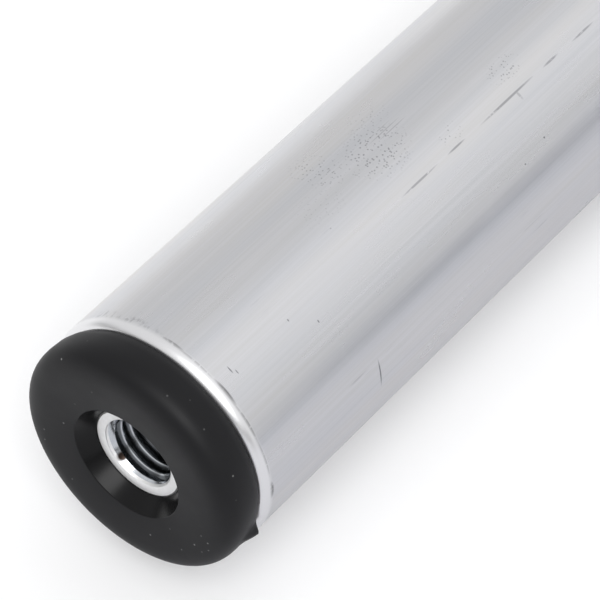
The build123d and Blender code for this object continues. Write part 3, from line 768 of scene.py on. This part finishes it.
def lock_boss_weld(side):
    """Rippled bead that welds the boss to the tube's crown."""
    stations = []
    for i in range(BEAD_STEPS + 1):
        a = FULL_TURN * i / BEAD_STEPS
        reach = BOSS_R + 0.3 * MM
        across, along = reach * math.sin(a), reach * math.cos(a)
        height = math.sqrt(CENTRE_R**2 - across**2)
        slope = -across * along / height
        point = (side * LOCK_X + along, AXIS_Y + across, AXIS_Z + height + 0.3 * MM)
        ripple = 1 + 0.11 * math.sin(BEAD_RIPPLES * a) + 0.07 * math.sin(5 * a + side)
        stations.append((facing(point, (-across, along, slope)), BEAD_R * ripple, 0))
    return tidied(swept(stations, 16))


# Lock screws and knobs

# M8 x 1.25, on the lock screws and the U-bolts
ROD_PITCH = 1.25 * MM
ROD_ROOT_R = 3.25 * MM
KNOB_LOBES = 5
SCALLOP_R = 8 * MM
SCALLOP_AT = 23 * MM            # knob's axis to each scallop's
HUB_R = 8.5 * MM
HUB_HEIGHT = 8 * MM
KNOB_SEGMENTS = 240


def lobed(angle):
    """Knob's outline, as a part of its full radius: round, with a scallop between lobes."""
    step = FULL_TURN / KNOB_LOBES
    turn = abs((angle + step / 2) % step - step / 2)
    aside = SCALLOP_AT * math.sin(turn)
    scallop = SCALLOP_AT * math.cos(turn) - math.sqrt(max(SCALLOP_R**2 - aside**2, 0))
    if aside >= SCALLOP_R:
        scallop = SCALLOP_AT
    # A soft lesser of the two, so that the lobes have round corners
    blend = 1.6 * MM
    mixed = max(blend - abs(scallop - KNOB_R), 0) / blend
    return (min(scallop, KNOB_R) - mixed**2 * blend / 4) / KNOB_R


def lock_screw(side):
    """Threaded stud with a rounded nose."""
    low, high = screw_low.z, screw_high.z
    profile = [(0, 0), (SCREW_R - 1.2 * MM, 0), (SCREW_R, 1.2 * MM), (SCREW_R, high - low),
        (0, high - low)]
    bm = turned(profile, lock_place(side, low), 64, closed=False)
    groove = thread_groove(SCREW_R, ROD_ROOT_R, ROD_PITCH, high - low - 2 * MM,
        lock_place(side, low + 0.6 * MM), 48)
    return combined(bm, groove)


def lock_knob(side):
    """Five-lobed star knob, crowned and soft at its edges, on a tapered hub."""
    base = KNOB_BOTTOM + HUB_HEIGHT
    height = KNOB_TOP - base
    soft, crown = 2.4 * MM, 3.0 * MM
    levels = []
    for i in range(7):
        a = math.pi / 2 * i / 6
        levels.append((KNOB_R - soft * (1 - math.sin(a)), soft * (1 - math.cos(a))))
    for i in range(9):
        a = math.pi / 2 * i / 8
        levels.append((KNOB_R - crown * (1 - math.cos(a)) - 1.0 * MM,
            height - 0.7 * MM - crown * (1 - math.sin(a))))
    levels += [(13 * MM, height - 0.55 * MM), (10.2 * MM, height - 0.5 * MM)]
    stations = [(lock_place(side, base + h), r, 0) for r, h in levels]
    star = capped(swept(stations, KNOB_SEGMENTS, outline=lobed))
    hub = [(0, 0), (HUB_R - 0.6 * MM, 0), (HUB_R, 0.6 * MM),
        (HUB_R + 0.8 * MM, HUB_HEIGHT - 1.2 * MM)]
    hub += [(HUB_R + 2 * MM, HUB_HEIGHT + 0.3 * MM), (0, HUB_HEIGHT + 0.3 * MM)]
    cap = [(0, 0), (8.6 * MM, 0), (8.6 * MM, 1.2 * MM)] + arc((7.6 * MM, 1.2 * MM), 1 * MM, 10, 90, 5)
    cap += [(3 * MM, 2.35 * MM), (0, 2.4 * MM)]
    bm = combined(star, turned(hub, lock_place(side, KNOB_BOTTOM), 96, closed=False),
        turned(cap, lock_place(side, KNOB_TOP - 2.4 * MM), 96, closed=False), operation="UNION")
    return combined(bm, rod(SCREW_R + SEAT, screw_high.z - KNOB_BOTTOM + 2 * MM,
        lock_place(side, KNOB_BOTTOM - 2 * MM)))


# Rail clamps

ROD_SEGMENTS = 48
ROD_BEND_R = 12 * MM
ROD_BEND_STEPS = 14
THREAD_LENGTH = 34 * MM
ROD_POINT = 0.9 * MM


def u_bolt(side):
    """Square U-bolt bent from rod, its legs threaded and pointed."""
    near, far = side * LEG_XS[0], side * LEG_XS[1]
    stations = [(to_ladder(near, ROD_END), ROD_R - ROD_POINT, 0)]
    for i in range(9):
        y = ROD_END - ROD_POINT - (ROD_END - CROSSBAR_Y - ROD_BEND_R - ROD_POINT) * i / 8
        stations.append((to_ladder(near, y), ROD_R, 0))
    for x, from_angle in ((near + side * ROD_BEND_R, 0), (far - side * ROD_BEND_R, 90)):
        for i in range(1, ROD_BEND_STEPS + 1):
            a = math.radians(from_angle + 90 * i / ROD_BEND_STEPS)
            point = (x - side * ROD_BEND_R * math.cos(a), CROSSBAR_Y + ROD_BEND_R * (1 - math.sin(a)),
                AXIS_Z)
            stations.append((facing(point, (side * math.sin(a), -math.cos(a), 0)), ROD_R, 0))
    for i in range(1, 9):
        y = CROSSBAR_Y + ROD_BEND_R + (ROD_END - CROSSBAR_Y - ROD_BEND_R - ROD_POINT) * i / 8
        stations.append((to_wall(far, y), ROD_R, 0))
    stations.append((to_wall(far, ROD_END), ROD_R - ROD_POINT, 0))
    bm = capped(swept(stations, ROD_SEGMENTS))
    grooves = [thread_groove(ROD_R, ROD_ROOT_R, ROD_PITCH, THREAD_LENGTH,
        to_wall(x, ROD_END - THREAD_LENGTH), 48) for x in (near, far)]
    return combined(bm, *grooves)


def crossbar_sleeve(side):
    """Vinyl sleeve, its ends drawn in and rounded."""
    length = sleeve_high.x - sleeve_low.x
    outer = (sleeve_high.z - sleeve_low.z) / 2
    inner = ROD_R + SEAT
    lip = (outer - inner) * 0.8
    profile = [(inner, 0), (outer - lip, 0)] + arc((outer - lip, lip), lip, -60, 0, 5)
    profile += [(outer - 0.12 * MM, length * 0.3), (outer - 0.18 * MM, length * 0.5),
        (outer - 0.12 * MM, length * 0.7)]
    profile += arc((outer - lip, length - lip), lip, 0, 60, 5) + [(outer - lip, length),
        (inner, length)]
    place = along_tube(side * RAIL_X - length / 2)
    place.translation.y = CROSSBAR_Y
    return turned(profile, place, 64)


def tube_hollow(side):
    """Cuts a saddle's hollow to the centre tube."""
    return rod(CENTRE_R + SEAT, 100 * MM, along_tube(side * RAIL_X - 50 * MM), 128)


def leg_holes(side, low, high):
    """Cuts a U-bolt's two leg holes through a saddle."""
    return [rod(LEG_HOLE_R, high - low, to_wall(side * x, low), 48) for x in LEG_XS]


CORE_SIZE = (12.5 * MM, 7 * MM, 6 * MM)     # of the hollows that keep a thick moulding even
CORE_SPACING = 16.5 * MM


def rail_saddle(side):
    """Nylon block between tube and rail, cored out above and below, with a pocket for the pad."""
    size = saddle_high - saddle_low
    front = to_ladder(side * RAIL_X, saddle_high.y)
    bm = block((size.x, size.z, size.y), front, 4 * MM, 1.2 * MM)
    pocket = pad_high - pad_low
    cuts = [tube_hollow(side), *leg_holes(side, saddle_low.y - 5 * MM, saddle_high.y + 5 * MM)]
    cuts.append(block((pocket.x + 2 * SEAT, pocket.z + 2 * SEAT, 6 * MM),
        to_ladder(side * RAIL_X, pad_high.y + SEAT), 1 * MM, 0.2 * MM))
    for up in (-1, 1):
        for i in (-1, 0, 1):
            place = facing((side * RAIL_X + i * CORE_SPACING, saddle_low.y + 6.2 * MM,
                AXIS_Z + up * (size.z / 2 - 2.2 * MM)), (0, 0, up), (0, 1, 0))
            cuts.append(block(CORE_SIZE, place, 1.2 * MM, 0.4 * MM, 4))
    return combined(bm, *cuts)


def rail_pad(side):
    """Rubber pad with round-bottomed grooves across its face."""
    size = pad_high - pad_low
    bm = block((size.x, size.z, size.y), to_ladder(side * RAIL_X, pad_high.y), 1 * MM, 0.6 * MM)
    cuts = []
    for i in range(-4, 5):
        deep = 1.1 * MM if i % 2 == 0 else 0.9 * MM
        place = facing((side * RAIL_X - size.x, pad_low.y - 0.35 * MM, AXIS_Z + i * size.z / 10),
            (1, 0, 0))
        cuts.append(rod(deep, 2 * size.x, place, 24))
    return combined(bm, *cuts)


def backing_saddle(side):
    """Nylon saddle under the nuts, with a raised seat round each leg and a hollow between them."""
    size = backing_high - backing_low
    bm = block((size.x, size.z, size.y), to_wall(side * RAIL_X, backing_low.y), 4 * MM, 1.2 * MM)
    middle = block((26 * MM, size.z - 12 * MM, 6 * MM),
        to_wall(side * RAIL_X, backing_high.y - 1.6 * MM), 3 * MM, 0.5 * MM)
    cuts = [tube_hollow(side), middle, *leg_holes(side, backing_low.y - 5 * MM,
        backing_high.y + 5 * MM)]
    return combined(bm, *cuts)


def flat_washers(side):
    """Two punched washers: rolled over at one rim, sharp at the other."""
    thick = flat_high.y - flat_low.y
    outer = (flat_high.z - flat_low.z) / 2
    bore = ROD_R + 0.2 * MM
    profile = [(bore, 0), (outer - 0.15 * MM, 0), (outer, 0.15 * MM)]
    profile += arc((outer - 0.5 * MM, thick - 0.5 * MM), 0.5 * MM, 0, 90, 4)
    profile += arc((bore + 0.35 * MM, thick - 0.35 * MM), 0.35 * MM, 90, 180, 3)
    return together([turned(profile, to_wall(side * x, flat_low.y), 64) for x in LEG_XS])


SPRING_GAP = 8                  # degrees


def spring_washers(side):
    """Two split washers of square wire, pressed almost flat."""
    thick = spring_high.y - spring_low.y
    outer = (spring_high.z - spring_low.z) / 2
    bore = ROD_R + 0.2 * MM
    rim = 0.2 * MM
    rings = []
    for x in LEG_XS:
        bm = bmesh.new()
        lift = 0.15 * MM
        chain(bm, [(bore, rim), (bore + rim, 0), (outer - rim, 0), (outer, rim),
            (outer, thick - lift - rim), (outer - rim, thick - lift), (bore + rim, thick - lift),
            (bore, thick - lift - rim)], closed=True)
        bmesh.ops.spin(bm, geom=bm.verts[:] + bm.edges[:], cent=(0, 0, 0), axis=(0, 0, 1),
            angle=math.radians(360 - SPRING_GAP), steps=60, dvec=(0, 0, lift / 60))
        bmesh.ops.holes_fill(bm, edges=[e for e in bm.edges if e.is_boundary], sides=0)
        turn = Matrix.Rotation(math.radians(90 + SPRING_GAP / 2), 4, "Z")
        rings.append(tidied(bm, to_wall(side * x, spring_low.y) @ turn))
    return together(rings)


NUT_HUB_R, NUT_TOP_R = 7.5 * MM, 5.75 * MM
NUT_HUB_HEIGHT = 9 * MM
WING_THICKNESS = 3.2 * MM


def wing_nut(side, x):
    """Wing nut: a tapered round hub, and two wings that swell to round tips."""
    seat = nut_low.y
    span, height = (nut_high.z - nut_low.z) / 2, nut_high.y - nut_low.y
    place = to_wall(side * x, seat)
    hub = [(0, 0), (NUT_HUB_R - 0.4 * MM, 0), (NUT_HUB_R, 0.4 * MM), (NUT_HUB_R - 0.2 * MM, 1.6 * MM)]
    hub += arc((NUT_TOP_R - 0.6 * MM, NUT_HUB_HEIGHT - 0.6 * MM), 0.6 * MM, 15, 90,
        4) + [(0, NUT_HUB_HEIGHT)]
    tip = 3.6 * MM
    wing = [(2.5 * MM, 1.6 * MM), (NUT_HUB_R + 0.8 * MM, 1.9 * MM)]
    wing += arc((span - tip, height - tip), tip, -50, 175, 14)
    wing += [(NUT_TOP_R + 2.4 * MM, NUT_HUB_HEIGHT - 0.6 * MM),
        (NUT_TOP_R - 0.2 * MM, NUT_HUB_HEIGHT - 1.8 * MM), (2.5 * MM, NUT_HUB_HEIGHT - 1.8 * MM)]
    flat = [facing((side * x, seat, AXIS_Z), (turn, 0, 0), (0, 1, 0)) for turn in (-1, 1)]
    wings = [plate(wing, WING_THICKNESS, f, 1.0 * MM) for f in flat]
    bm = combined(turned(hub, place, 64, closed=False), *wings, operation="UNION")
    bore = rod(ROD_R + SEAT, NUT_HUB_HEIGHT + 4 * MM, place @ Matrix.Translation((0, 0, -2 * MM)), 48)
    mouth = turned([(0, -0.2 * MM), (ROD_R + 0.9 * MM, -0.2 * MM), (ROD_R, 0.8 * MM), (0, 0.8 * MM)],
        place, 48, closed=False)
    return combined(bm, bore, mouth)


# Name, shape, finish, slot, body that it rides on, CAD node that it stands for, and the angle in
# degrees from which an edge is sharp
PIECES = (
    ("drawn_arm_tube", arm_tube, ARM_ALUMINIUM, "drawn_aluminium", "arm", "arm_tube", 35),
    ("moulded_end_plug", end_plug, PLUG_NYLON, "black_nylon", "arm", "end_plug", 35),
    ("threaded_insert", thread_insert, INSERT_ZINC, "zinc_plated_steel", "arm", "thread_insert", 25),
    ("moulded_glide", guide_plug, NYLON, "black_nylon", "arm", "guide_plug", 35),
    ("moulded_guide_bush", guide_bush, NYLON, "black_nylon", "frame", "guide_bush", 35),
    ("turned_lock_boss", lock_boss, MACHINED, "cast_aluminium", "frame", "lock_boss", 35),
    ("lock_boss_weld", lock_boss_weld, MACHINED, "cast_aluminium", "frame", None, 35),
    ("threaded_lock_screw", lock_screw, ZINC, "zinc_plated_steel", "knob", "lock_screw", 25),
    ("moulded_star_knob", lock_knob, KNOB_NYLON, "black_nylon", "knob", "lock_knob", 30),
    ("bent_u_bolt", u_bolt, ZINC, "zinc_plated_steel", "frame", "u_bolt", 25),
    ("vinyl_sleeve", crossbar_sleeve, VINYL, "black_vinyl", "frame", "crossbar_sleeve", 35),
    ("moulded_rail_saddle", rail_saddle, NYLON, "black_nylon", "frame", "rail_saddle", 30),
    ("grooved_rail_pad", rail_pad, RUBBER, "black_rubber", "frame", "rail_pad", 30),
    ("moulded_backing_saddle", backing_saddle, NYLON, "black_nylon", "frame", "backing_saddle", 30),
    ("punched_flat_washers", flat_washers, ZINC, "zinc_plated_steel", "frame", "flat_washers", 35),
    ("split_spring_washers", spring_washers, ZINC, "zinc_plated_steel", "frame", "spring_washers", 35),
    ("cast_wing_nut_inner", lambda side: wing_nut(side, LEG_XS[0]), ZINC, "zinc_plated_steel",
     "wing_nut_inner", "wing_nut_inner", 40),
    ("cast_wing_nut_outer", lambda side: wing_nut(side, LEG_XS[1]), ZINC, "zinc_plated_steel",
     "wing_nut_outer", "wing_nut_outer", 40),
)

finished("drawn_centre_tube", centre_tube(), ALUMINIUM, "frame", "centre_tube")
for hand, side in HANDS:
    for name, shape, material, slot, body, node, sharp in PIECES:
        finished(f"{name}_{hand}", shape(side), material, body if body == "frame"
            else f"{body}_{hand}", node and f"{node}_{hand}", sharp)

# Studio


def floor(name, pale, paler, height, reflected_only):
    """Matt sweep under the object, faintly uneven. A second one, a little greyer, shows only in
    reflections: painted shade for the floor that the object reflects."""
    material, add, shader = new_material(name, Roughness=0.9)
    coords = add("TexCoord", output="Object")
    paper = add("TexNoise", {"Vector": coords, "Scale": 3, "Detail": 2})
    tone = add("Mix", {0: paper, 6: srgb(pale), 7: srgb(paler)}, 2, data_type="RGBA")
    if reflected_only:
        # Painted shade: the reflected floor stays greyer between and under the arms, and is lighter beyond them
        sideways = add("VectorMath", {0: coords}, operation="ABSOLUTE")
        sideways = add("SeparateXYZ", {0: sideways})
        outside = add("MapRange", {"Value": sideways, "From Min": ARM_X - 20 * MM,
            "From Max": ARM_X + 50 * MM})
        tone = add("Mix", {0: outside, 6: tone, 7: srgb("#ededed")}, 2, data_type="RGBA")
    shader.id_data.links.new(tone, shader.inputs["Base Color"])
    bm = bmesh.new()
    bmesh.ops.create_grid(bm, x_segments=1, y_segments=1, size=40,
        matrix=Matrix.Translation((0, 0, height)))
    mesh = bpy.data.meshes.new(name)
    bm.to_mesh(mesh)
    bm.free()
    mesh.materials.append(material)
    plane = placed(name, mesh)
    plane.visible_glossy = reflected_only
    plane.visible_camera = plane.visible_diffuse = plane.visible_shadow = not reflected_only


# Brightness of the white tent round the object, by degrees up from the +X side and over to the -X side
TENT = ((0, 0.80), (24, 0.78), (60, 0.78), (74, 0.79), (84, 0.85), (94, 0.95), (108, 1.0), (122, 0.97),
        (138, 0.93), (150, 0.90), (160, 0.79), (168, 0.76), (180, 0.86))


def tent():
    """World light: a soft white tent, brighter along a wide strip overhead."""
    world = bpy.data.worlds.new("tent")
    bpy.context.scene.world = world
    world.use_nodes = True
    tree = world.node_tree
    add = partial(add_node, tree)
    direction = add("TexCoord", output="Generated")
    axes = add("SeparateXYZ", {0: direction}).node.outputs
    angle = add("Math", {0: axes[2], 1: axes[0]}, operation="ARCTAN2")
    part = add("Math", {0: angle, 1: math.pi}, operation="DIVIDE")
    shade = add("ValToRGB", {0: part})
    stops = shade.node.color_ramp.elements
    for i, (degrees, value) in enumerate(TENT):
        stop = stops[i] if i < 2 else stops.new(degrees / 180)
        stop.position = degrees / 180
        stop.color = (value, value, value * 1.01, 1)
    # The tent's open end, towards the camera, is dim near the floor
    open_end = add("MapRange", {"Value": axes[1], "From Min": -0.1, "From Max": 0.3})
    dim = add("MapRange", {"Value": axes[2], "From Min": 0.05, "From Max": 0.32, "To Min": 0.85,
        "To Max": 0.0})
    dim = add("Math", {0: dim, 1: open_end}, operation="MULTIPLY")
    shade = add("Mix", {0: dim, 6: shade, 7: (0.02, 0.02, 0.02, 1)}, 2, data_type="RGBA")
    tree.links.new(shade, tree.nodes["Background"].inputs["Color"])


SUN_STRENGTH = 1.5
SUN_WIDTH = 40                  # degrees


def soft_sun():
    """Large soft key light from above the camera, which whitens the floor."""
    light = bpy.data.lights.new("key", "SUN")
    light.energy, light.angle = SUN_STRENGTH, math.radians(SUN_WIDTH)
    placed("key", light).matrix_world = facing((0, 0, 3), -CAMERA_FORWARD)


# The camera looks down on the right arm's rolled end, with the tube running away up to the right
CAMERA_FROM_TIP = Vector((-11.925, 13.583, 20.870))     # in arm radii
CAMERA_FORWARD = Vector((0.4189, -0.5367, -0.7325))
SENSOR, LENS = 36.0, 226.3      # mm


def camera():
    """Camera close over the right arm's end."""
    data = bpy.data.cameras.new("camera")
    data.sensor_width, data.lens = SENSOR, LENS
    data.clip_start, data.clip_end = 0.01, 100
    viewer = placed("camera", data)
    viewer.matrix_world = facing(Vector((ARM_X, TIP_Y, AXIS_Z)) + CAMERA_FROM_TIP * ARM_R,
        -CAMERA_FORWARD)
    bpy.context.scene.camera = viewer


floor("studio_floor", "#fafafa", "#fdfdfd", 0, False)
floor("reflected_shade_floor", "#d2d2d5", "#d6d6d9", 0.01 * MM, True)
tent()
soft_sun()
camera()
bpy.context.scene.view_settings.view_transform = "Standard"
